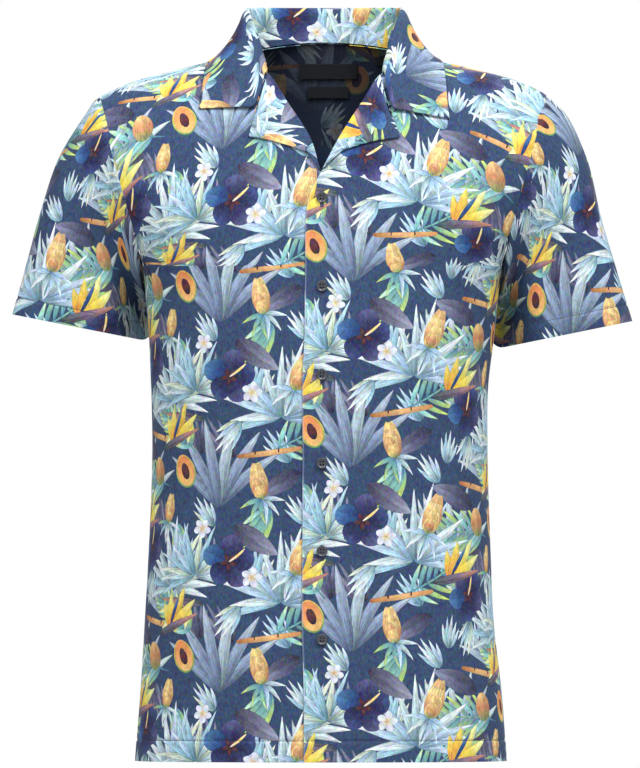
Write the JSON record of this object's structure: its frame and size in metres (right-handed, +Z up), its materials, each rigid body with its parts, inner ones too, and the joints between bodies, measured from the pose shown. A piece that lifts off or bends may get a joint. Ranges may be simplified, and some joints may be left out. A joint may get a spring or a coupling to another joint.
{
  "type": "short-sleeved camp-collar shirt",
  "caption": "Button-through shirt with an open notched camp collar and short sleeves, filled out as worn, with nobody in it.",
  "frame": {"origin": "middle of the neck opening at the height of the high shoulder points, where the wearer's shoulders carry the shirt", "axes": "+Z up, -Y out of the chest, +X to the wearer's left, which is the viewer's right"},
  "size_m": [0.6382, 0.2488, 0.7766],
  "materials": {
    "printed_jersey": "matt printed jersey, navy ground",
    "button": "polished black, four holes",
    "label": "bare black woven tape"
  },
  "bodies": {
    "root": {"back": "printed_jersey", "front_right": "printed_jersey", "front_left": "printed_jersey", "lapel_right": "printed_jersey", "lapel_left": "printed_jersey", "collar": "printed_jersey", "sleeve_right": "printed_jersey", "sleeve_left": "printed_jersey", "button_1": "button", "button_2": "button", "button_3": "button", "button_4": "button", "button_5": "button", "button_6": "button", "neck_label": "label", "fit_label": "label", "size_tab": "label"}
  },
  "joints": []
}
